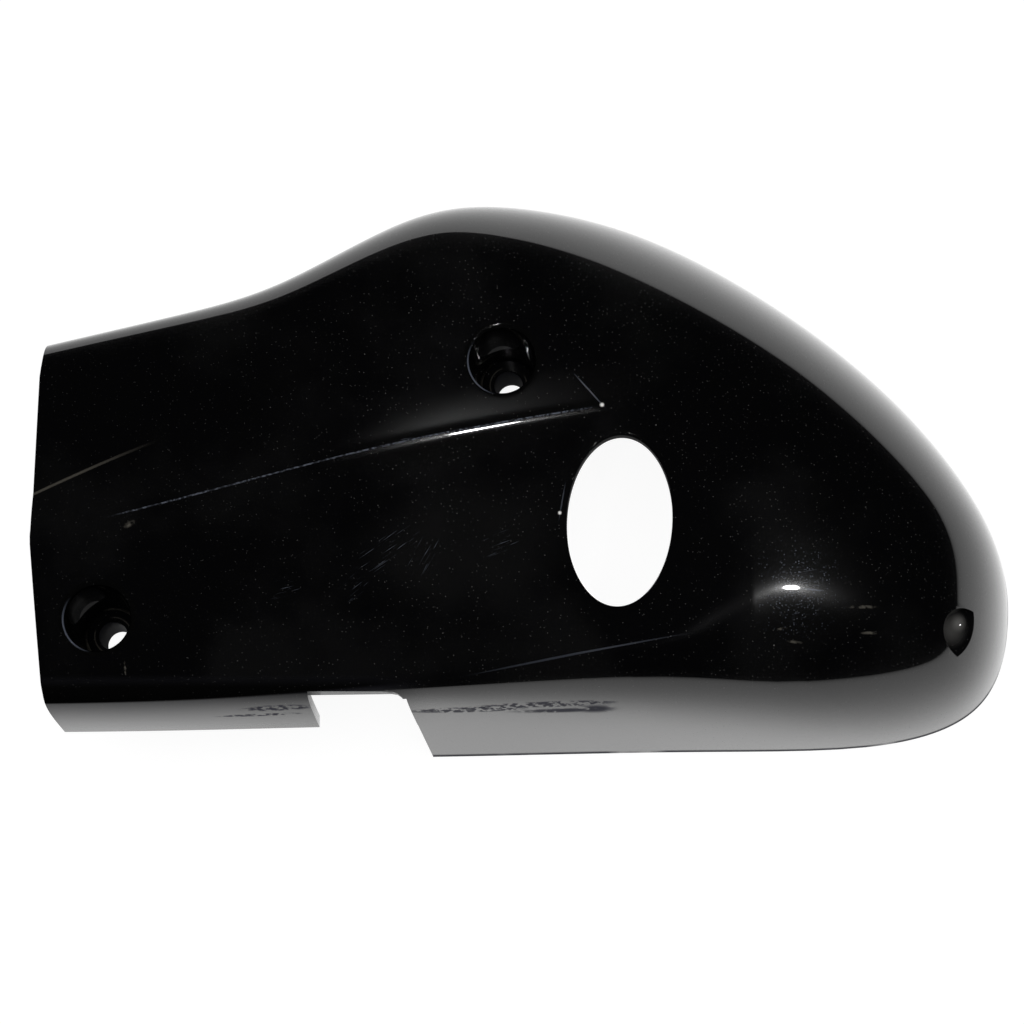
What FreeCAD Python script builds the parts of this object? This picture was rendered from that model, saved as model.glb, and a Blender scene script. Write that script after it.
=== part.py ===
import FreeCAD, Part
import math
import os

Vector = FreeCAD.Vector

# Driving sizes in millimetres. The cover lies open side down on z = 0, with the neck's open end at -X,
# the rounded nose at +X, the hump of the bulb at +Y and the straight side at -Y.
length = 209.3
width = 123.7
wall = 2.5
neck_rim_height = 25.0
neck_skew = 3.2

# Screw cups: a drafted counterbore from the face down to a flat seat, and a clearance bore through the seat
cup_mouth_radius = 6.9
cup_mouth_height = 52.5
cup_draft = 3.0
seat_height = 33.0
seat_thickness = 11.0
bore_radius = 3.1
cup_wall = 2.4
hump_screw_x = -4.4
hump_screw_y = 14.4
neck_screw_from_end = 14.7
neck_screw_from_side = 21.7

# Oval opening in the flat panel
oval_width = 22.2
oval_height = 36.4
oval_x = 20.2
oval_y = -20.6
oval_lean = 3.0

# Slot through the straight side, between the neck's edge and the bulb's wall
slot_left = -45.8
slot_right = -25.3
slot_depth = 6.3
slot_top = 42.0
slot_flare = 1.9
slot_corner = 3.0

# Round pocket sunk into the nose's shoulder, with a dished floor and a boss behind it
pocket_radius = 5.2
pocket_from_nose = 11.4
pocket_y = -41.8
pocket_floor = 27.7
pocket_dish = 12.0

neck_end = -length / 2
nose = length / 2
hump = width / 2
side = -width / 2
overrun = 8.0
crown_share = 0.7
shoulder_pull = 0.42
inside_levels = (0.0, 0.5, 0.8, 1.0, 1.2, 1.5, 2.0)

# Ribs of the flank, clockwise from the neck's hump-side corner: foot x and y on the rim, crown x, y and z,
# slope at the crown in degrees, how far down the wall the shoulder's rounding starts, and the wall's draft in degrees
ribs = [
    (neck_end - overrun, hump - 34.8, neck_end - overrun, hump - 53, 50.0, 24, 0.25, 6.5),
    (neck_end + 27.5, hump - 26.9, neck_end + 27.5, hump - 45, 50.6, 25, 0.27, 6.5),
    (neck_end + 52.3, hump - 19.2, neck_end + 51.5, hump - 37, 51.5, 26, 0.32, 6.5),
    (neck_end + 76.5, hump - 5.6, neck_end + 77.5, hump - 27, 53.2, 25, 0.42, 6.5),
    (-4.4, hump, -10, hump - 29, 54.8, 20, 0.62, 6.5),
    (25, hump - 5.3, 6, hump - 42, 54.5, 15, 0.75, 6.5),
    (56.6, hump - 23.6, 24, hump - 54, 53.0, 12, 0.75, 6.5),
    (nose - 22, hump - 46.9, 37, hump - 67, 51.7, 8, 0.71, 6.5),
    (nose - 4, hump - 73.2, 43, hump - 78, 50.8, 5, 0.66, 6.5),
    (nose - 0.1, hump - 95, 44, hump - 88, 49.9, 5, 0.66, 6.5),
    (nose - 7.5, side + 9.5, 42.5, side + 30.2, 49.6, 8, 0.62, 6.5),
    (nose - 32.3, side + 1.0, 33, side + 22.2, 49.8, 15, 0.66, 6.5),
    (29, side + 0.4, 18, side + 15.2, 49.3, 22, 0.5, 6.5),
    (-31, side, -31, side + 9.7, 47.8, 28, 0.3, 6),
    (-75, side + 0.8, -75, side + 8.5, 50.1, 26, 0.36, 3),
    (neck_end - overrun, side + 0.8, neck_end - overrun, side + 8.1, 50.6, 26, 0.36, 3),
]

# Sections of the face across the neck: x, then y and z of the hump end, the valley, the strip's handle,
# the crest, the brow's handle and the side end
face_sections = [
    (neck_end - overrun, (44, 46.2), (-16.7, 50.6), (-19.2, 52.3), (-24.2, 52.4), (-43, 52.0), (-67, 49.2)),
    (neck_end + 29, (47, 47.2), (-0.7, 51.0), (-8.2, 51.6), (-15.4, 51.7), (-35, 51.9), (-67, 48.8)),
    (-26, (61, 52.5), (13.8, 52.0), (6.8, 51.9), (-2.6, 49.6), (-25, 49.6), (-67, 46.2)),
    (18.4, (65, 58.6), (26.8, 55.2), (14.8, 54.1), (4, 52.2), (-19, 52.5), (-67, 48.8)),
    (64, (69, 66), (29, 63), (19, 61), (9, 58.5), (-21, 60), (-67, 55.5)),
]

# The flat panel around the oval opening
panel_height = 50.3
panel_slope_x = -0.03
panel_slope_y = 0.07


def line(start, end):
    return Part.makeLine(start, end)


def bezier(*poles):
    curve = Part.BezierCurve()
    curve.setPoles(list(poles))
    return curve.toShape()


def spline_through(points):
    curve = Part.BSplineCurve()
    curve.interpolate(Points=points, Parameters=[float(i) for i in range(len(points))])
    return curve


# One rib's five poles: drafted wall from the foot, a corner that the shoulder rounds off, and the crown
def rib_poles(rib, inset, floor):
    foot_x, foot_y, crown_x, crown_y, crown_z, slope, roundness, draft = rib
    run = Vector(crown_x - foot_x, crown_y - foot_y, 0)
    reach = run.Length
    inward = run / reach
    lean = math.tan(math.radians(draft))
    rise = math.tan(math.radians(slope))
    wall_shift = inset / math.cos(math.radians(draft))
    crown_drop = inset / math.cos(math.radians(slope))
    corner_z = (crown_z - crown_drop - (reach - wall_shift) * rise) / (1 - lean * rise)
    corner_r = wall_shift + corner_z * lean
    crown_r = reach + inset * rise

    def at(r, z):
        return Vector(foot_x, foot_y, z) + inward * r

    foot = at(wall_shift + floor * lean, floor)
    corner = at(corner_r, corner_z)
    crown = at(crown_r, corner_z + (crown_r - corner_r) * rise)
    below = corner + (foot - corner) * roundness
    above = corner + (crown - corner) * crown_share * min(1, 2 * roundness)
    middle = (at(wall_shift, 0) + crown) / 2
    corner = corner + (middle - corner) * shoulder_pull * roundness ** 2
    return [foot, below, corner, above, crown]


# The flank as one spline surface through the ribs, closed by a riser above the crown, a lid, a floor and the end.
# Inside the wall, where nothing shows, ruled bands between levels of that surface are enough.
def flank_solid(inset, floor, lid_z):
    columns = [rib_poles(rib, inset, floor) for rib in ribs]
    rows = [spline_through(list(row)) for row in zip(*columns)]
    rim, crown = rows[0], rows[4]
    net = [list(poles) for poles in zip(*[row.getPoles() for row in rows])]
    flank = Part.BSplineSurface()
    flank.buildFromPolesMultsKnots(net, rim.getMultiplicities(), [4, 1, 4], rim.getKnots(), [0.0, 1.0, 2.0],
                                   False, False, 3, 3)
    lid = Part.BSplineCurve()
    lid.buildFromPolesMultsKnots([Vector(p.x, p.y, lid_z) for p in crown.getPoles()],
                                 crown.getMultiplicities(), crown.getKnots(), False, 3)
    if inset:
        levels = [flank.vIso(v) for v in inside_levels]
        skin = [Part.makeRuledSurface(low.toShape(), high.toShape()) for low, high in zip(levels, levels[1:])]
        ends = Part.makePolygon([level.StartPoint for level in levels]).Edges
        ends += Part.makePolygon([level.EndPoint for level in levels]).Edges
    else:
        skin = [flank.toShape()]
        ends = [flank.uIso(u).toShape() for u in flank.bounds()[:2]]
    end_outline = ends + [line(crown.StartPoint, lid.StartPoint), line(lid.StartPoint, lid.EndPoint),
                          line(lid.EndPoint, crown.EndPoint), line(rim.EndPoint, rim.StartPoint)]
    faces = skin + [
        Part.makeRuledSurface(crown.toShape(), lid.toShape()),
        Part.Face(Part.Wire([rim.toShape(), line(rim.EndPoint, rim.StartPoint)])),
        Part.Face(Part.Wire([lid.toShape(), line(lid.EndPoint, lid.StartPoint)])),
        Part.Face(Part.Wire(Part.__sortEdges__(end_outline))),
    ]
    shell = Part.makeShell(faces)
    shell.sewShape()
    return Part.makeSolid(shell)


# Everything under the face: pad, strip and brow, lofted from section to section along the neck
def face_solid(drop):
    outlines = []
    for x, *profile in face_sections:
        hump_end, valley, strip, crest, brow, side_end = [Vector(x, y, z - drop) for y, z in profile]
        side_foot = Vector(x, side_end.y, -20)
        hump_foot = Vector(x, hump_end.y, -20)
        outlines.append(Part.Wire([
            line(hump_end, valley), bezier(valley, strip, crest), bezier(crest, brow, side_end),
            line(side_end, side_foot), line(side_foot, hump_foot), line(hump_foot, hump_end)]))
    neck = Part.makeLoft(outlines, True, False)
    bulb = Part.Face(outlines[-1]).extrude(Vector(length / 2, 0, 0))
    return neck.fuse(bulb)


# Everything under the flat panel's plane
def panel_solid(drop):
    span = length
    corners = []
    for x, y in ((-span, -span), (span, -span), (span, span), (-span, span)):
        z = panel_height - drop + (x - oval_x) * panel_slope_x + (y - oval_y) * panel_slope_y
        corners.append(Vector(x, y, z))
    return Part.Face(Part.makePolygon(corners + corners[:1])).extrude(Vector(0, 0, -2 * span))


def body_solid(inset, floor):
    drop = inset * 1.03
    return flank_solid(inset, floor, 66.0).common(face_solid(drop)).common(panel_solid(drop))


def box(x0, y0, z0, x1, y1, z1):
    return Part.makeBox(x1 - x0, y1 - y0, z1 - z0, Vector(x0, y0, z0))


def prism_y(points, y0, y1):
    outline = Part.makePolygon([Vector(x, y0, z) for x, z in points + points[:1]])
    return Part.Face(outline).extrude(Vector(0, y1 - y0, 0))


# What is taken off the neck's lower edges, on both sides, with a flared step down to the bulb's rim
def neck_edge_cut():
    step_foot = slot_right + slot_flare
    outline = [(neck_end - 1, -1), (step_foot, -1), (slot_right, neck_rim_height), (neck_end - 1, neck_rim_height)]
    return prism_y(outline, side - 10, hump + 10)


# The slot in the straight side: the wall under the face, and a notch in the face's edge with one rounded corner
def slot_cut():
    lip = side + slot_depth
    step_foot = slot_right + slot_flare
    outline = [(slot_left, -1), (step_foot, -1), (slot_right, slot_top), (slot_left, slot_top)]
    under = prism_y(outline, side - 10, lip + 7)
    notch = box(slot_left, side - 10, -1, slot_right, lip, 80)
    inner_corner = [edge for edge in notch.Edges
                    if edge.BoundBox.ZLength > 20 and edge.BoundBox.XMin > slot_right - 1
                    and edge.BoundBox.YMin > lip - 1]
    return under.fuse(notch.makeFillet(slot_corner, inner_corner))


# The neck's open end seen from above: square to the length on the pad's side, set back towards the straight side
def neck_trim():
    brow = face_sections[0][4][0]
    outline = [(neck_end - 40, hump + 10), (neck_end, hump + 10), (neck_end, brow), (neck_end + neck_skew, side + 6),
               (neck_end + neck_skew, side - 10), (neck_end - 40, side - 10)]
    points = [Vector(x, y, -5) for x, y in outline]
    return Part.Face(Part.makePolygon(points + points[:1])).extrude(Vector(0, 0, 90))


def oval_cut():
    ellipse = Part.Ellipse(Vector(0, 0, 0), oval_height / 2, oval_width / 2)
    face = Part.Face(Part.Wire(ellipse.toShape()))
    face.rotate(Vector(0, 0, 0), Vector(0, 0, 1), 90 - oval_lean)
    face.translate(Vector(oval_x, oval_y, seat_height))
    return face.extrude(Vector(0, 0, 40))


# A screw cup as a turned profile: the tube that hangs from the face, and what is bored out of it
def cup_profile(x, y, grow, foot):
    lean = math.tan(math.radians(cup_draft))
    seat_radius = cup_mouth_radius - (cup_mouth_height - seat_height) * lean + grow
    top = cup_mouth_height + overrun
    top_radius = seat_radius + (top - seat_height) * lean
    points = [Vector(x, y, foot), Vector(x + seat_radius, y, foot), Vector(x + seat_radius, y, seat_height),
              Vector(x + top_radius, y, top), Vector(x, y, top)]
    return Part.Face(Part.makePolygon(points + points[:1])).revolve(Vector(x, y, 0), Vector(0, 0, 1), 360)


def pocket_cut():
    floor = Vector(nose - pocket_from_nose, pocket_y, pocket_floor)
    dish = Part.makeSphere(pocket_dish, floor + Vector(0, 0, pocket_dish))
    return Part.makeCylinder(pocket_radius, 2 * pocket_dish, floor).common(dish)


def pocket_boss():
    floor = Vector(nose - pocket_from_nose, pocket_y, pocket_floor - wall)
    return Part.makeCylinder(pocket_radius + wall, 2 * pocket_dish, floor)


def fork_cover():
    outer = body_solid(0.0, 0.0)
    inner = body_solid(wall, -3.0)
    buried = body_solid(wall / 2, -1.0)
    screws = [(hump_screw_x, hump_screw_y), (neck_end + neck_screw_from_end, side + neck_screw_from_side)]
    tubes = [cup_profile(x, y, cup_wall, seat_height - seat_thickness) for x, y in screws]
    cups = [cup_profile(x, y, 0.0, seat_height) for x, y in screws]
    bores = [Part.makeCylinder(bore_radius, 60, Vector(x, y, 0)) for x, y in screws]
    cover = outer.cut(inner)
    cover = cover.cut([oval_cut(), slot_cut(), neck_edge_cut(), neck_trim()])
    cover = cover.fuse([boss.common(buried) for boss in tubes + [pocket_boss()]])
    return cover.cut(cups + bores + [pocket_cut()])


os.makedirs("parts", exist_ok=True)
cover = fork_cover()
cover.exportStep("parts/fork_cover.step")
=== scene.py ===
import math

import bpy
import numpy as np
from mathutils import Matrix, Vector


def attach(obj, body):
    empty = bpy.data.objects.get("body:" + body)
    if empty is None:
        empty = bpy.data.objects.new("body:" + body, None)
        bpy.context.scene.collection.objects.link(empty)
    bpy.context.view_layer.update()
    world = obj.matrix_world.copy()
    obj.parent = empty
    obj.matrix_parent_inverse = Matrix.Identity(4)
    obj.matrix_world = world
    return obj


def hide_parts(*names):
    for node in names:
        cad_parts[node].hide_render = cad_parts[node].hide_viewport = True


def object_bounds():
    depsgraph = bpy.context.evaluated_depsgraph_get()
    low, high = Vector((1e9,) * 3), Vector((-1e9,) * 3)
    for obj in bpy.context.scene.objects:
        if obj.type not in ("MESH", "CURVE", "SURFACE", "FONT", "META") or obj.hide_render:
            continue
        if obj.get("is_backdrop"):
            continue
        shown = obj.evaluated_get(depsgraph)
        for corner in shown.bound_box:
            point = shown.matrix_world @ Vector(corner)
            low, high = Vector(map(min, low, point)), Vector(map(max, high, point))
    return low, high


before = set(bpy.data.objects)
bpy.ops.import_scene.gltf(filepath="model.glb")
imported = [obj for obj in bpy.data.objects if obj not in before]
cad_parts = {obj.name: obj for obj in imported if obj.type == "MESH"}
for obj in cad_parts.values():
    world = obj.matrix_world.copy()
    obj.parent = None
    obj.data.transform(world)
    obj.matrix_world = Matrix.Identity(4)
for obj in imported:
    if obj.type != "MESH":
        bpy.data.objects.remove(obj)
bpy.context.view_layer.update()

# The shell: one injection moulding in glossy black plastic, a drafted flank that rolls over a soft shoulder
# onto a face of four facets. It lies open side down, its neck towards -X and its hump towards +Y. Its skin is
# swept from rib to rib round the rim. Sizes are in millimetres.
length = 209.3
width = 123.7
wall = 2.5
neck_end = -length / 2
nose = length / 2
hump = width / 2
side = -width / 2
skin_start = neck_end - 8
crown_share = 0.7
shoulder_pull = 0.42

# Ribs of the flank, from the hump side of the neck round the nose to its straight side: x and y of the foot,
# x, y and z of the crown at the face, slope of the crown, roundness of the shoulder and draft of the wall
ribs = [
    (skin_start, hump - 34.8, skin_start, hump - 53, 50.0, 24, 0.25, 6.5),
    (neck_end + 27.5, hump - 26.9, neck_end + 27.5, hump - 45, 50.6, 25, 0.27, 6.5),
    (neck_end + 52.3, hump - 19.2, neck_end + 51.5, hump - 37, 51.5, 26, 0.32, 6.5),
    (neck_end + 76.5, hump - 5.6, neck_end + 77.5, hump - 27, 53.2, 25, 0.42, 6.5),
    (-4.4, hump, -10, hump - 29, 54.8, 20, 0.62, 6.5),
    (25, hump - 5.3, 6, hump - 42, 54.5, 15, 0.75, 6.5),
    (56.6, hump - 23.6, 24, hump - 54, 53.0, 12, 0.75, 6.5),
    (nose - 22, hump - 46.9, 37, hump - 67, 51.7, 8, 0.71, 6.5),
    (nose - 4, hump - 73.2, 43, hump - 78, 50.8, 5, 0.66, 6.5),
    (nose - 0.1, hump - 95, 44, hump - 88, 49.9, 5, 0.66, 6.5),
    (nose - 7.5, side + 9.5, 42.5, side + 30.2, 49.6, 8, 0.62, 6.5),
    (nose - 32.3, side + 1.0, 33, side + 22.2, 49.8, 15, 0.66, 6.5),
    (29, side + 0.4, 18, side + 15.2, 49.3, 22, 0.5, 6.5),
    (-31, side, -31, side + 9.7, 47.8, 28, 0.3, 6),
    (-75, side + 0.8, -75, side + 8.5, 50.1, 26, 0.36, 3),
    (skin_start, side + 0.8, skin_start, side + 8.1, 50.6, 26, 0.36, 3),
]

# Lines along the face, from the hump to the straight side: y and z of each where it crosses these five x
face_x = (skin_start, neck_end + 29, -26, 18.4, 64)
face_lines = {
    "hump_end": ((44, 46.2), (47, 47.2), (61, 52.5), (65, 58.6), (69, 66)),
    "valley": ((-16.7, 50.6), (-0.7, 51.0), (13.8, 52.0), (26.8, 55.2), (29, 63)),
    "strip": ((-19.2, 52.3), (-8.2, 51.6), (6.8, 51.9), (14.8, 54.1), (19, 61)),
    "crest": ((-24.2, 52.4), (-15.4, 51.7), (-2.6, 49.6), (4, 52.2), (9, 58.5)),
    "brow": ((-43, 52.0), (-35, 51.9), (-25, 49.6), (-19, 52.5), (-21, 60)),
    "side_end": ((-67, 49.2), (-67, 48.8), (-67, 46.2), (-67, 48.8), (-67, 55.5)),
}
oval_x = 20.2
oval_y = -20.6
panel_level = 50.3
panel_slope_x = -0.03
panel_slope_y = 0.07
panel_rounding = 0.2
shoulder_rounding = 0.12
crease_softening = (-0.8, -0.4, 0, 0.4, 0.8)
bead_height = 0.3
bead_width = 1.0
bead_end = 18.5
bead_fade = 3


# A smooth curve through the values at the knots, read at any places
def spline(knots, values, at):
    knots, values, at = (np.asarray(v, float) for v in (knots, values, at))
    values = values.reshape(len(knots), -1)
    gap = np.diff(knots)
    bend = np.eye(len(knots))
    load = np.zeros_like(values)
    for i in range(1, len(knots) - 1):
        bend[i, i - 1:i + 2] = gap[i - 1], 2 * (gap[i - 1] + gap[i]), gap[i]
        load[i] = 6 * ((values[i + 1] - values[i]) / gap[i] - (values[i] - values[i - 1]) / gap[i - 1])
    curve = np.linalg.solve(bend, load)
    cell = np.clip(np.searchsorted(knots, at) - 1, 0, len(gap) - 1)
    h = gap[cell][:, None]
    after = (at - knots[cell])[:, None] / h
    before = 1 - after
    return (before * values[cell] + after * values[cell + 1]
            + ((before ** 3 - before) * curve[cell] + (after ** 3 - after) * curve[cell + 1]) * h ** 2 / 6)


def face_line(name, x):
    return spline(face_x, face_lines[name], x)


# Height at y on the curve that leaves its start towards the handle and arrives at its end
def bend_height(start, handle, end, y):
    a = start[:, 0] - 2 * handle[:, 0] + end[:, 0]
    b = 2 * (handle[:, 0] - start[:, 0])
    c = start[:, 0] - y
    root = np.sqrt(np.maximum(b * b - 4 * a * c, 0))
    t = 2 * c / (-b + root)
    return (1 - t) ** 2 * start[:, 1] + 2 * t * (1 - t) * handle[:, 1] + t * t * end[:, 1]


# The lower of two heights, with the corner between them rounded
def soft_min(a, b, rounding):
    return (a + b - np.sqrt((a - b) ** 2 + rounding ** 2)) / 2


def panel_height(x, y):
    return panel_level + panel_slope_x * (x - oval_x) + panel_slope_y * (y - oval_y)


# Height of the face: the pad, the strip and the brow with softened creases, cut by the flat panel, and a bead
# along the main crease
def face_height(x, y):
    x, y = np.broadcast_arrays(np.asarray(x, float), np.asarray(y, float))
    shape = x.shape
    x, y = x.ravel(), y.ravel()
    hump_end, valley, strip, crest, brow, side_end = (face_line(name, x) for name in face_lines)
    pad_run = hump_end - valley
    total = 0
    for step in crease_softening:
        at = y + step
        pad = valley[:, 1] + (at - valley[:, 0]) * pad_run[:, 1] / pad_run[:, 0]
        upper = bend_height(valley, strip, crest, at)
        lower = bend_height(crest, brow, side_end, at)
        total = total + np.where(at > valley[:, 0], pad, np.where(at > crest[:, 0], upper, lower))
    facets = total / len(crease_softening)
    bead = bead_height * np.exp(-((y - crest[:, 0]) / bead_width) ** 2)
    bead = bead * np.clip((bead_end - x) / bead_fade, 0, 1)
    return (soft_min(facets, panel_height(x, y), panel_rounding) + bead).reshape(shape)


# The five poles of one rib, from its base over the shoulder to its crown
def rib_poles(rib, inset):
    foot_x, foot_y, crown_x, crown_y, crown_z, slope, roundness, draft = rib
    wall_draft = math.tan(math.radians(draft))
    foot = np.array([foot_x, foot_y])
    run = np.array([crown_x, crown_y]) - foot
    reach = np.linalg.norm(run)
    rise = math.tan(math.radians(slope))
    shift = inset * math.hypot(1, wall_draft)
    corner_z = (crown_z - inset * math.hypot(1, rise) - (reach - shift) * rise) / (1 - wall_draft * rise)
    corner_r = shift + corner_z * wall_draft
    crown_r = reach + inset * rise

    def at(r, z):
        return np.array([*(foot + run / reach * r), z])

    base = at(shift, 0)
    corner = at(corner_r, corner_z)
    crown = at(crown_r, corner_z + (crown_r - corner_r) * rise)
    below = corner + (base - corner) * roundness
    above = corner + (crown - corner) * crown_share * min(1, 2 * roundness)
    shoulder = corner + ((base + crown) / 2 - corner) * shoulder_pull * roundness ** 2
    return np.array([base, below, shoulder, above, crown])


# Weights of a rib's poles on the way up it: a cubic curve with one inner knot
def section_weights(t):
    knots = [0, 0, 0, 0, 1, 2, 2, 2, 2]
    weights = [((knots[i] <= t) & (t < knots[i + 1])).astype(float) for i in range(8)]
    weights[4] = weights[4] + (t == 2)
    for degree in (1, 2, 3):
        raised = []
        for i in range(8 - degree):
            left = knots[i + degree] - knots[i]
            right = knots[i + degree + 1] - knots[i + 1]
            weight = 0
            if left:
                weight = weight + (t - knots[i]) / left * weights[i]
            if right:
                weight = weight + (knots[i + degree + 1] - t) / right * weights[i + 1]
            raised.append(weight)
        weights = raised
    return np.array(weights).T


# Columns of the skin run from the rim over the shoulder to the main crease: along its hump side, round its
# tip and back along its straight side. A column has a place among the ribs and ends at one on the crease.
tip_x = 17.3
crease_x = np.linspace(skin_start, tip_x, 180)
hump_u = np.interp(crease_x, [skin_start, neck_end + 27.5, neck_end + 52, -27, -8, 7, tip_x], range(7))
side_u = np.interp(crease_x, [skin_start, -75, -31, 13, tip_x], [15, 14, 13, 12, 11])
column_u = np.concatenate([hump_u, np.linspace(6, 11, 122)[1:-1], side_u[::-1]])
spine_x = np.concatenate([crease_x, np.full(120, tip_x), crease_x[::-1]])
spine = np.stack([spine_x, face_line("crest", spine_x)[:, 0]], 1)
rise_t = 2 * np.linspace(0, 1, 28)
reach_w = 1 - (1 - np.linspace(0, 1, 41)[1:]) ** 2


# The skin at a depth inside the outer one; the face slopes, so it is lowered by a little more than the depth
def skin(inset):
    face_drop = inset * 1.03
    poles = np.array([rib_poles(rib, inset) for rib in ribs])
    rows = spline(range(len(ribs)), poles.reshape(len(ribs), 15), column_u).reshape(-1, 5, 3)
    flank = np.einsum("ckd,tk->ctd", rows, section_weights(rise_t))
    crown = flank[:, -1, :2]
    inward = crown[:, None] + (spine - crown)[:, None] * reach_w[None, :, None]
    top = face_height(inward[..., 0], inward[..., 1])
    over_flank = face_height(flank[..., 0], flank[..., 1]) - face_drop
    flank[..., 2] = soft_min(flank[..., 2], over_flank, shoulder_rounding)
    flank[:, 0, 2] = 0
    face = np.concatenate([inward, top[..., None] - face_drop], 2)
    return np.concatenate([flank, face], 1)


def skin_faces(index):
    corners = [index[:-1, :-1], index[:-1, 1:], index[1:, 1:], index[1:, :-1]]
    return np.stack(corners, -1).reshape(-1, 4).tolist()


def pick(obj):
    bpy.ops.object.select_all(action="DESELECT")
    bpy.context.view_layer.objects.active = obj
    obj.select_set(True)


def solid(name, points, faces):
    data = bpy.data.meshes.new(name)
    data.from_pydata((np.asarray(points, float).reshape(-1, 3) / 1000).tolist(), [], faces)
    obj = bpy.data.objects.new(name, data)
    bpy.context.collection.objects.link(obj)
    pick(obj)
    bpy.ops.object.mode_set(mode="EDIT")
    bpy.ops.mesh.select_all(action="SELECT")
    bpy.ops.mesh.remove_doubles(threshold=0.00001)
    bpy.ops.mesh.normals_make_consistent(inside=False)
    bpy.ops.object.mode_set(mode="OBJECT")
    return obj


# The outer skin is drawn in by a hair, to stay within the solid's box
outer_skin = skin(0)
outer_skin[..., :2] *= 0.9996
columns, depth = outer_skin.shape[:2]
outer = np.arange(columns * depth).reshape(columns, depth)
inner = outer + columns * depth
shell_faces = skin_faces(outer) + skin_faces(inner)
for rim, facing in ((outer[:, 0], inner[:, 0]), (outer[0], inner[0]), (outer[-1], inner[-1])):
    shell_faces += np.stack([rim[:-1], rim[1:], facing[1:], facing[:-1]], -1).tolist()
shell = solid("fork_cover_shell", [outer_skin, skin(wall)], shell_faces)

# The oval sight opening: a hole moulded through the flat panel, leaning by three degrees. Its upper edge is
# just broken, as a mould leaves it.
oval_turn = math.radians(-3)
oval_half = (11.1, 18.2)


# One ring for each radius and height of a profile; a height is measured from the surface it follows, if any
def turned(name, x, y, profile, half=(1, 1), turn=0, count=72):
    angle = np.linspace(0, 2 * math.pi, count, endpoint=False)
    rings = []
    for radius, z, follow in profile:
        a = radius * half[0] * np.cos(angle)
        b = radius * half[1] * np.sin(angle)
        px = x + a * math.cos(turn) - b * math.sin(turn)
        py = y + a * math.sin(turn) + b * math.cos(turn)
        height = follow(px, py) + z if follow else np.full(count, float(z))
        rings.append(np.stack([px, py, height], 1))
    around = np.arange(count)
    faces = [around.tolist(), (around + (len(rings) - 1) * count).tolist()]
    for k in range(len(rings) - 1):
        near = around + k * count
        faces += np.stack([near, np.roll(near, -1), np.roll(near, -1) + count, near + count], -1).tolist()
    return solid(name, rings, faces)


def combine(body, tool, operation, keep=False):
    change = body.modifiers.new(tool.name, "BOOLEAN")
    change.operation = operation
    change.solver = "MANIFOLD"
    change.object = tool
    pick(body)
    bpy.ops.object.modifier_apply(modifier=change.name)
    if not keep:
        bpy.data.objects.remove(tool)


oval_edge = [(1, -20), (1, -1), (1, -0.4), (1.012, -0.15), (1.035, 0), (1.3, 2)]
oval_profile = [(share, z, panel_height) for share, z in oval_edge]
combine(shell, turned("oval", oval_x, oval_y, oval_profile, oval_half, oval_turn, 120), "DIFFERENCE")

# The trimmed edges: a slot through the straight side with one rounded corner, the short lower edge of the
# neck and its skewed open end. All are plain, square ends of the moulded wall.
slot_start = -45.8
slot_end = -25.3
slot_top = 42
slot_depth = 6.3
slot_round = 3
neck_edge_z = 25
neck_skew = 3.2


def block(name, corners, low, high, axis):
    points = [(a, level, b) if axis == "y" else (a, b, level) for level in (low, high) for a, b in corners]
    count = len(corners)
    faces = [list(range(count)), list(range(count, 2 * count))]
    faces += [(i, (i + 1) % count, (i + 1) % count + count, i + count) for i in range(count)]
    return solid(name, points, faces)


slot = [(slot_start, -2), (-23.4, -2), (slot_end, slot_top), (slot_start, slot_top)]
combine(shell, block("slot_wall", slot, side - 12, side + 13.3, "y"), "DIFFERENCE")
notch = [(slot_start, side - 12), (slot_end, side - 12)]
for a in np.radians([0, 22.5, 45, 67.5, 90]):
    corner_x = slot_end - slot_round * (1 - math.cos(a))
    corner_y = side + slot_depth - slot_round * (1 - math.sin(a))
    notch.append((corner_x, corner_y))
notch.append((slot_start, side + slot_depth))
combine(shell, block("slot_notch", notch, -4, 80, "z"), "DIFFERENCE")
below_neck = [(neck_end - 12, -3), (-23.35, -3), (-24.5, neck_edge_z), (neck_end - 12, neck_edge_z)]
combine(shell, block("neck_edge", below_neck, side - 13, hump + 13, "y"), "DIFFERENCE")
past_neck = [(neck_end - 30, hump + 12), (neck_end, hump + 12), (neck_end, -24.2),
             (neck_end + neck_skew, side + 6), (neck_end + neck_skew, side - 12), (neck_end - 30, side - 12)]
combine(shell, block("neck_trim", past_neck, -6, 90, "z"), "DIFFERENCE")

# The screw cups: moulded tubes behind the face, each with a tapered counterbore, a flat seat for the screw's
# head and a clearance hole. Their mouths are rounded into the face.
cups = ((-4.4, 14.4), (neck_end + 14.7, side + 21.7))
mouth_radius = 6.9
mouth_round = 1.1
cup_depth = 19.5
cup_taper = math.radians(3)
seat_z = 33.5
seat_radius = mouth_radius - cup_depth * math.tan(cup_taper)
tube_radius = seat_radius + 2.4
tube_end = 22
bore_radius = 3.1

# A body that ends inside the wall, to which the bosses behind the face are trimmed
end_loop = np.concatenate([outer[0], outer[-1, ::-1]]).tolist()
core = solid("core", skin(wall / 2), skin_faces(outer) + [outer[:, 0].tolist(), end_loop])


def add_boss(boss):
    combine(boss, core, "INTERSECT", keep=True)
    combine(shell, boss, "UNION")


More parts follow.
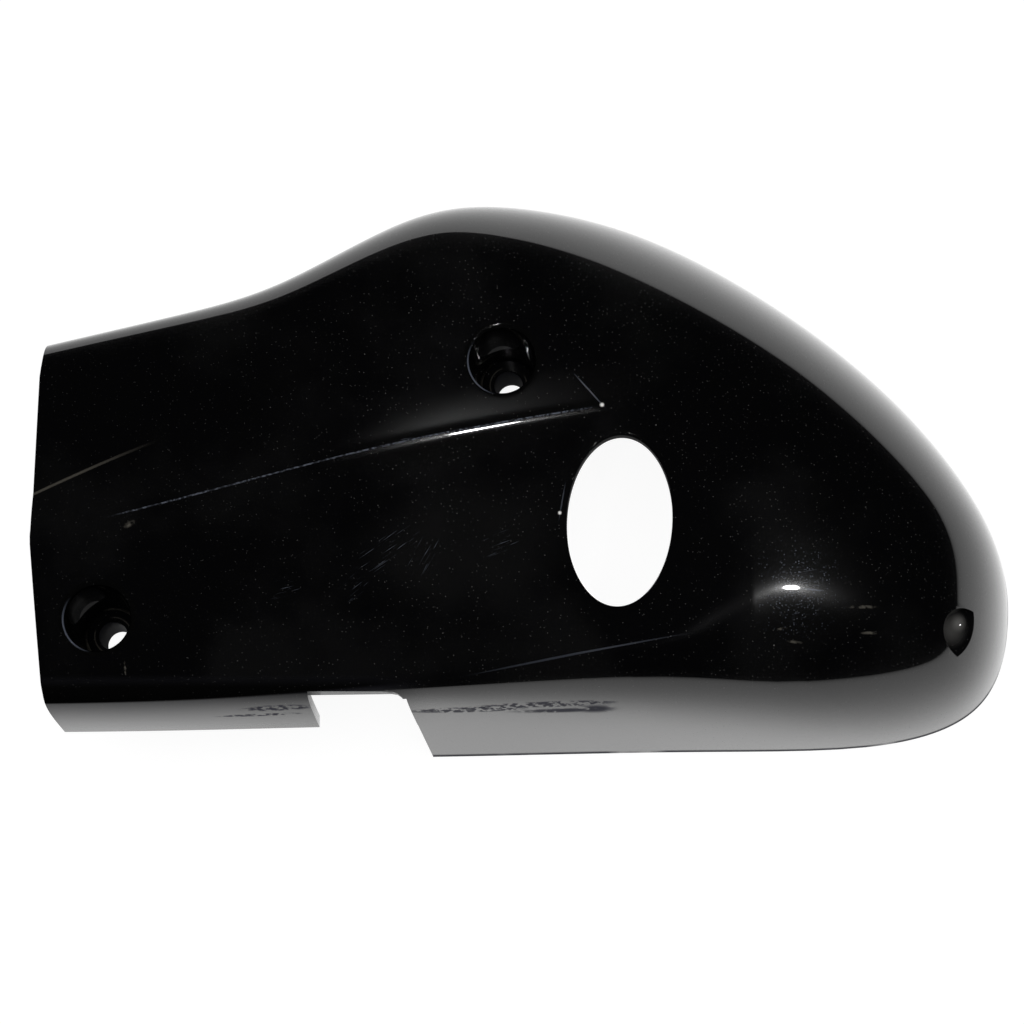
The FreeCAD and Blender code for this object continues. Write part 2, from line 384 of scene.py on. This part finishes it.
for x, y in cups:
    tube = [(tube_radius, tube_end, None), (tube_radius, seat_z - 0.5, None), (seat_radius + 3.6, 56, None)]
    add_boss(turned("tube", x, y, tube))
    cup = [(seat_radius - 0.5, seat_z - 0.5, None), (seat_radius, seat_z, None)]
    for a in np.radians([0, 15, 30, 45, 60, 72, 82]):
        lip_radius = mouth_radius + mouth_round * (1 - math.cos(a))
        cup.append((lip_radius, mouth_round * (math.sin(a) - 1), face_height))
    combine(shell, turned("cup", x, y, cup + [(8.2, 4, face_height)]), "DIFFERENCE")
    bore = [(bore_radius, 15, None), (bore_radius, 32.7, None), (bore_radius + 0.3, seat_z - 0.1, None)]
    combine(shell, turned("bore", x, y, bore), "DIFFERENCE")

# The pocket in the nose's shoulder: a round recess with a dished floor, moulded in one with the cover. A boss
# behind it keeps the wall's thickness.
pocket_x = nose - 11.4
pocket_y = -41.8
pocket_floor = 27.7
pocket_radius = 5.2
dish = 12
boss = [(pocket_radius + wall, pocket_floor - wall, None), (pocket_radius + wall, 50, None)]
add_boss(turned("boss", pocket_x, pocket_y, boss))
bowl_radii = np.linspace(0.05, pocket_radius, 16)
bowl = [(r, pocket_floor + dish - math.sqrt(dish ** 2 - r ** 2), None) for r in bowl_radii]
combine(shell, turned("pocket", pocket_x, pocket_y, bowl + [(pocket_radius, 50, None)]), "DIFFERENCE")
bpy.data.objects.remove(core)
pick(shell)
bpy.ops.object.shade_smooth_by_angle(angle=math.radians(32))

# The finish: the plastic is black all through, polished by the mould and lightly used. It has a film of dust
# wiped in cloudy patches, scuffs where it was handled and smears on the straight side. Painted shade darkens
# the rim's edge, the bores and the neck's straight wall, and painted highlights and glints lie on creases,
# edges, cup mouths, the pocket and the nose. Each point keeps its distance in millimetres from the main crease
# and from the foot of the neck's step.
points = np.empty(3 * len(shell.data.vertices), np.float32)
shell.data.vertices.foreach_get("co", points)
points = points.reshape(-1, 3) * 1000
for name, line in (("from_crease", "crest"), ("from_step", "valley")):
    from_line = points[:, 1] - face_line(line, points[:, 0])[:, 0]
    shell.data.attributes.new(name, "FLOAT", "POINT").data.foreach_set("value", from_line)


def emptied(material):
    material.use_nodes = True
    tree = material.node_tree
    tree.nodes.clear()
    place = tree.nodes.new("ShaderNodeTexCoord").outputs["Object"]
    where = tree.nodes.new("ShaderNodeSeparateXYZ")
    tree.links.new(place, where.inputs[0])
    return tree.nodes, tree.links, place, where.outputs


gloss = bpy.data.materials.new("gloss_black")
nodes, links, place, where = emptied(gloss)


def math_node(operation, *values, clamp=False):
    node = nodes.new("ShaderNodeMath")
    node.operation = operation
    node.use_clamp = clamp
    for socket, value in zip(node.inputs, values):
        if isinstance(value, (int, float)):
            socket.default_value = value
        else:
            links.new(value, socket)
    return node.outputs[0]


def times(first, *others):
    for other in others:
        first = math_node("MULTIPLY", first, other)
    return first


def most(first, *others):
    for other in others:
        first = math_node("MAXIMUM", first, other)
    return first


# Rises from 0 to 1 as the value goes from one bound to the other
def ramp(value, start, end):
    node = nodes.new("ShaderNodeMapRange")
    node.interpolation_type = "SMOOTHSTEP"
    node.inputs["From Min"].default_value = start
    node.inputs["From Max"].default_value = end
    links.new(value, node.inputs["Value"])
    return node.outputs[0]


def along(axis, start, end):
    return ramp(where[axis], start / 1000, end / 1000)


def moved(centre, turn, size):
    node = nodes.new("ShaderNodeMapping")
    node.vector_type = "TEXTURE"
    node.inputs["Location"].default_value = [v / 1000 for v in centre]
    node.inputs["Rotation"].default_value = (0, 0, math.radians(turn))
    node.inputs["Scale"].default_value = [v / 1000 for v in size]
    links.new(place, node.inputs["Vector"])
    return node.outputs[0]


def noise(vector, scale, detail):
    node = nodes.new("ShaderNodeTexNoise")
    node.inputs["Scale"].default_value = scale
    node.inputs["Detail"].default_value = detail
    links.new(vector, node.inputs["Vector"])
    return node.outputs[0]


# Noise between two bounds, to break up an even mark
def broken(scale, detail, start, end):
    return ramp(noise(place, scale, detail), start, end)


def distance(vector):
    node = nodes.new("ShaderNodeVectorMath")
    node.operation = "LENGTH"
    links.new(vector, node.inputs[0])
    return node.outputs["Value"]


# A soft round or oval patch, full in its core and gone at its half sizes
def spot(centre, turn, size, core=0.3):
    return ramp(distance(moved(centre, turn, size)), 1, core)


# A band along a line of the face, gone at its width on either side
def beside(name, width):
    track = nodes.new("ShaderNodeAttribute")
    track.attribute_name = name
    return ramp(math_node("ABSOLUTE", track.outputs["Fac"]), width, width * 0.3)


def ring(away, radius, outside, inside):
    return ramp(math_node("ABSOLUTE", math_node("SUBTRACT", away, radius)), outside, inside)


# Small round grains in a share of a pattern's cells
def grains(scale, reach, share):
    cells = nodes.new("ShaderNodeTexVoronoi")
    cells.inputs["Scale"].default_value = scale
    links.new(place, cells.inputs["Vector"])
    chance = nodes.new("ShaderNodeSeparateColor")
    links.new(cells.outputs["Color"], chance.inputs[0])
    return times(ramp(cells.outputs["Distance"], reach, reach * 0.4), ramp(chance.outputs[0], 1 - share, 1))


def coated(colour, roughness, specular, coat):
    node = nodes.new("ShaderNodeBsdfPrincipled")
    node.inputs["Base Color"].default_value = (*colour, 1)
    node.inputs["Roughness"].default_value = roughness
    node.inputs["Specular IOR Level"].default_value = specular
    node.inputs["Coat Weight"].default_value = coat
    node.inputs["Coat Roughness"].default_value = 0.025
    node.inputs["Coat IOR"].default_value = 1.55
    return node.outputs[0]


def layered(below, above, amount):
    node = nodes.new("ShaderNodeMixShader")
    links.new(amount, node.inputs[0])
    links.new(below, node.inputs[1])
    links.new(above, node.inputs[2])
    return node.outputs[0]


# The plastic and what lies on it: colour, roughness, specular level and how much polish is left over it.
# Several of these layers also serve below as painted shade, painted highlights and painted glints
plastic = coated((0.0012, 0.0012, 0.0015), 0.3, 0.04, 1)
film = coated((0.007, 0.007, 0.007), 0.35, 0.08, 1)
hazed = coated((0.003, 0.003, 0.003), 0.27, 0.5, 1)
brushed = coated((0.001, 0.001, 0.001), 0.16, 0.4, 1)
painted_shade = coated((0.012, 0.012, 0.016), 0.45, 0.2, 0.05)
scuff_and_painted_glint = coated((0.16, 0.18, 0.23), 0.35, 0.5, 0)
rub_and_painted_highlight = coated((0.13, 0.12, 0.1), 0.5, 0.3, 0)
soot_and_painted_shade = coated((0.016, 0.016, 0.04), 0.6, 0, 0)
painted_shade_black = coated((0.002, 0.002, 0.002), 0.6, 0, 0)
dust_and_painted_highlight = coated((0.45, 0.44, 0.42), 0.9, 0.2, 0)
painted_glint = coated((0.85, 0.83, 0.8), 0.6, 0.5, 0)

# A film of dust, wiped in cloudy patches
look = layered(plastic, film, times(broken(34, 5, 0.42, 0.66), 0.5))

# Where it was rubbed most, the polish is hazed with hairlines: along the main crease and on the nose
on_nose = along("X", 47.5, 49)
rubbed = most(spot((-6, 2, 50), 14, (42, 9, 9)), times(spot((58, -35, 47), 0, (22, 16, 12)), on_nose))
look = layered(look, hazed, times(rubbed, 0.8))
look = layered(look, brushed, times(rubbed, 0.5))
look = layered(look, film, times(spot((-12, -25, 49.5), 10, (30, 17, 12)), 0.5))

# Painted shade on the neck's straight wall, darker towards its top, and painted shade that turns its shoulder
# black
neck_wall = times(along("Y", -52, -55), along("X", -18, -34))
look = layered(look, painted_shade, times(neck_wall, along("Z", 20, 48), 0.75))
look = layered(look, painted_shade_black, times(neck_wall, along("Z", 45.8, 46.6)))

# Dark smears low on the straight side, broken into specks, and one solid wedge
specked = broken(800, 3, 0.4, 0.56)
for centre, long, high in (
        ((-13, -57.8, 34.6), 15, 2),
        ((4, -57.5, 36.3), 18, 1.8),
        ((-53, -58, 40.3), 9, 2.2),
        ((-57, -58.6, 36), 11, 1.1)):
    look = layered(look, soot_and_painted_shade, times(spot(centre, 0, (long, 6, high), 0.6), specked, 0.8))
wedge = most(spot((7, -57.8, 32.6), 0, (14, 6, 1.8)), spot((14, -57.8, 33), 0, (6, 6, 3)))
look = layered(look, soot_and_painted_shade, times(wedge, broken(500, 4, 0.3, 0.5), 0.85))

# Scuffed patches of fine parallel scratches: centre, turn and half sizes
for centre, turn, long, wide in (
        ((-29, -26, 49), 35, 9, 4),
        ((-21, -27, 49), 60, 6, 3),
        ((-5, -25, 49.5), 20, 5, 3),
        ((-36, -34, 48.7), 40, 4, 3),
        ((-51, -34, 49.5), 15, 5, 2.5),
        ((-26, -2, 49.7), 10, 6, 2),
        ((58, -34, 47), 10, 7, 4)):
    scratches = ramp(noise(moved(centre, turn, (7, 0.28, 7)), 1, 2), 0.6, 0.72)
    look = layered(look, scuff_and_painted_glint, times(spot(centre, turn, (long, wide, 8)), scratches, 0.5))

# Painted glints on the nose round the middle of its polish, where the nose lamp's highlight falls: hairlines
# swirled round that middle and sparkling grains
flat = (1, 1, 100000)
from_middle = moved((57, -35, 47), 0, flat)
out_from_middle = distance(from_middle)
turn_about = nodes.new("ShaderNodeSeparateXYZ")
links.new(from_middle, turn_about.inputs[0])
bearing = math_node("ARCTAN2", turn_about.outputs["Y"], turn_about.outputs["X"])
polar = nodes.new("ShaderNodeCombineXYZ")
links.new(times(out_from_middle, 2.2), polar.inputs["X"])
links.new(times(bearing, 5), polar.inputs["Y"])
swirled_hairline_glint = times(ramp(noise(polar.outputs[0], 1, 4), 0.56, 0.72), ramp(out_from_middle, 9, 0.5), 0.45)
painted_sparkle = times(grains(1700, 0.3, 0.8), ramp(out_from_middle, 13, 1), 0.8)
look = layered(look, scuff_and_painted_glint, times(most(swirled_hairline_glint, painted_sparkle), on_nose))

# Rub marks beside the nose and on the neck
rub_breaks = broken(900, 3, 0.35, 0.62)
for centre, turn, long, wide in (
        ((70.7, -38.6, 43.8), 2, 4, 0.45),
        ((72.3, -43.7, 41.3), 3, 2.4, 0.4),
        ((56.5, -45.8, 43.2), -4, 2, 0.35),
        ((53.9, -43.3, 44.9), 5, 1.3, 0.35),
        ((-83.5, -20.1, 52.1), 30, 1.6, 0.8),
        ((-83.8, -50.9, 50.7), 95, 1.7, 0.3)):
    look = layered(look, rub_and_painted_highlight, times(spot(centre, turn, (long, wide, 6)), rub_breaks, 0.6))

# Painted highlights as thin light lines on the fold at the crease's tip, on the fold beside the oval and along
# the panel's edge at the straight side, and a light hairline beside the nose's highlight
for centre, turn, long, wide, strength in (
        ((14.2, 7.2, 52.5), 131, 6, 0.22, 0.4),
        ((8.2, -16.5, 50.5), 80, 5, 0.2, 0.22),
        ((60.5, -35.4, 46.7), -5, 3, 0.2, 0.6),
        ((11, -48.7, 48), 9.9, 27, 0.3, 0.22)):
    look = layered(look, scuff_and_painted_glint, times(spot(centre, turn, (long, wide, 6)), strength))

# Painted highlights: a thin broken light line along the crease's edge, a grey painted reflection along the
# neck's step, and painted glints at two corners, the crease's tip and beside the oval
painted_crease_highlight = times(beside("from_crease", 0.25), spot((-36, -8, 51), 13, (54, 40, 30), 0.85))
edge_breaks = math_node("ADD", broken(1300, 3, 0.45, 0.6), 0.15, clamp=True)
look = layered(look, scuff_and_painted_glint, times(painted_crease_highlight, edge_breaks, 0.5))
painted_step_reflection = times(beside("from_step", 0.45), spot((-104, -14, 51), 20, (30, 20, 20), 0.3))
look = layered(look, rub_and_painted_highlight, times(painted_step_reflection, 0.45))
painted_glints = most(spot((16.8, 4.1, 52), 0, (0.6, 0.6, 3)), spot((7.7, -18.9, 50.5), 0, (0.5, 0.5, 3)))
look = layered(look, painted_glint, painted_glints)

# Painted shade along the rim's lowest two millimetres, as a contact shadow, and on the pocket's floor a
# lighter painted reflection with a painted highlight towards the neck
look = layered(look, soot_and_painted_shade, times(along("Z", 2.2, 1), broken(60, 4, 0.3, 0.5), 0.85))
look = layered(look, dust_and_painted_highlight, times(spot((nose - 15, -40.2, 28.5), 0, (4.5, 5, 5), 0), 0.16))
look = layered(look, dust_and_painted_highlight, times(spot((nose - 13, -39, 28.5), 0, (2, 2.4, 5), 0), 0.25))

# Painted highlights as light rings on each cup, round the bore, at the seat's corner and on the mouth's edge;
# painted shade in the bores; a brushed polish round the mouths and a painted highlight on part of each lip
for x, y in cups:
    away = distance(moved((x, y, 0), 0, flat))
    on_seat = along("Z", 34.5, 33.8)
    at_mouth = along("Z", 45, 46)
    rings = times(most(ring(away, 4, 0.25, 0.05), ring(away, 5.75, 0.25, 0.05)), on_seat)
    rings = most(rings, times(ring(away, 7.1, 0.25, 0.05), at_mouth))
    look = layered(look, rub_and_painted_highlight, times(rings, 0.2, broken(130, 3, 0.42, 0.62)))
    look = layered(look, painted_shade, spot((x, y, 16), 0, (5, 5, 22), 0.95))
    look = layered(look, brushed, times(ring(away, 7.4, 1, 0.7), at_mouth))
    painted_lip_highlight = times(ring(away, 7.3, 0.25, 0.05), spot((x - 6, y - 3, 50), 0, (6, 8, 9), 0.3))
    look = layered(look, scuff_and_painted_glint, times(painted_lip_highlight, 0.6))

# Dust in grains of three sizes, settled more towards the nose
specks = most(times(grains(1150, 0.18, 1), 0.4), grains(650, 0.08, 0.4), grains(210, 0.04, 0.25))
settled = math_node("ADD", times(along("X", -90, -20), 0.17), 0.14)
look = layered(look, dust_and_painted_highlight, times(specks, settled))
links.new(look, nodes.new("ShaderNodeOutputMaterial").inputs["Surface"])
shell.data.materials.clear()
shell.data.materials.append(gloss)
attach(shell, "root")
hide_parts("fork_cover")

# The stage: a large sheet of white paper under the cover, in a dark room. The camera sees it white with the
# cover's shadow, and the gloss mirrors it darker where the cover shades it. The helpers of the finish are used
# again, on the paper's own nodes.
bpy.ops.mesh.primitive_plane_add(size=6, location=(0, 0, -0.0002))
floor = bpy.context.object
floor.name = "floor"
paper = bpy.data.materials.new("paper")
nodes, links, place, where = emptied(paper)
ray = nodes.new("ShaderNodeLightPath").outputs


def matt(shade):
    node = nodes.new("ShaderNodeBsdfDiffuse")
    node.inputs["Color"].default_value = (shade, shade, shade, 1)
    return node.outputs[0]


glow = nodes.new("ShaderNodeEmission")
glow.inputs["Strength"].default_value = 0.93
white = nodes.new("ShaderNodeAddShader")
links.new(matt(0.2), white.inputs[0])
links.new(glow.outputs[0], white.inputs[1])
sheet = layered(matt(0.9), white.outputs[0], ray["Is Camera Ray"])
shaded = 0
for x, y, turn, long, wide in ((32, -8, -12, 68, 50), (-50, -14, 0, 56, 35), (-85, -43, 0, 20, 17)):
    shaded = most(shaded, spot((x, y, 0), turn, (long, wide, 99), 0.8))
open_floor = math_node("SUBTRACT", 1, times(shaded, 0.92))
mirrored = nodes.new("ShaderNodeEmission")
links.new(times(open_floor, along("Y", -1200, -120), along("X", 1200, 150)), mirrored.inputs["Strength"])
sheet = layered(sheet, mirrored.outputs[0], most(ray["Is Glossy Ray"], ray["Is Transmission Ray"]))
links.new(sheet, nodes.new("ShaderNodeOutputMaterial").inputs["Surface"])
floor.data.materials.append(paper)
floor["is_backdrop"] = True

world = bpy.data.worlds.new("room")
bpy.context.scene.world = world
world.use_nodes = True
world.node_tree.nodes["Background"].inputs["Color"].default_value = (0.01, 0.01, 0.01, 1)

# The lamps: one broad soft lamp overhead, and small narrow ones that the polished crease, nose and cups
# mirror towards the camera. Each small one is aimed at its place, tilted towards -Y and +X by its angles.
lamp_distance = 1200


def lamp(name, kind, power):
    data = bpy.data.lights.new(name, kind)
    data.energy = power
    obj = bpy.data.objects.new(name, data)
    bpy.context.collection.objects.link(obj)
    return obj


overhead = lamp("overhead", "AREA", 19)
overhead.data.size = 1.5
overhead.location = (0, 0, 1.6)
overhead.visible_glossy = False


# A narrow lamp that lights a circle of the given reach round its aim
def accent(name, aim, south, east, reach, power, radius):
    obj = lamp(name, "SPOT", power)
    obj.data.shadow_soft_size = radius
    obj.data.spot_size = 2 * math.atan(reach / lamp_distance)
    obj.data.spot_blend = 0.8
    away = Vector((math.tan(math.radians(east)), -math.tan(math.radians(south)), 1)).normalized()
    obj.location = Vector(aim) / 1000 + away * (lamp_distance / 1000)
    obj.rotation_euler = away.to_track_quat("Z", "Y").to_euler()


for east in (-4, -5.2, -6.4):
    accent("crease_light", (-9, 1, 50), 16.2, east, 28, 2, 0.02)
accent("nose_light", (57, -35, 47), 11.2, 16.4, 50, 4, 0.03)
hump_cup, neck_cup = ((x, y, 50) for x, y in cups)
accent("hump_cup_light", hump_cup, 36.5, 4.6, 10, 20, 0.03)
accent("hump_cup_side_light", hump_cup, 24.5, 36, 10, 20, 0.03)
accent("neck_cup_light", neck_cup, -37, 26, 10, 20, 0.03)

# The camera stands over the straight side, a little towards the nose, and looks at the middle of the face.
# Its lens gives the picture's scale at that distance.
sensor_width = 36
picture_width = 1024
pixels_per_mm = 4.71
camera_distance = 700
target = Vector((-2.77, -17.15, 45)) / 1000
back = Vector((math.tan(math.radians(4)), -math.tan(math.radians(14)), 1)).normalized()
right = Vector((0, 1, 0)).cross(back).normalized()
up = back.cross(right)
camera = bpy.data.objects.new("camera", bpy.data.cameras.new("camera"))
bpy.context.collection.objects.link(camera)
camera.data.sensor_width = sensor_width
camera.data.lens = pixels_per_mm * camera_distance / picture_width * sensor_width
camera.data.clip_end = 20
stand = Matrix((right, up, back)).transposed().to_4x4()
stand.translation = target + back * (camera_distance / 1000)
camera.matrix_world = stand
bpy.context.scene.camera = camera
bpy.context.scene.view_settings.view_transform = "Standard"

low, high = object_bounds()
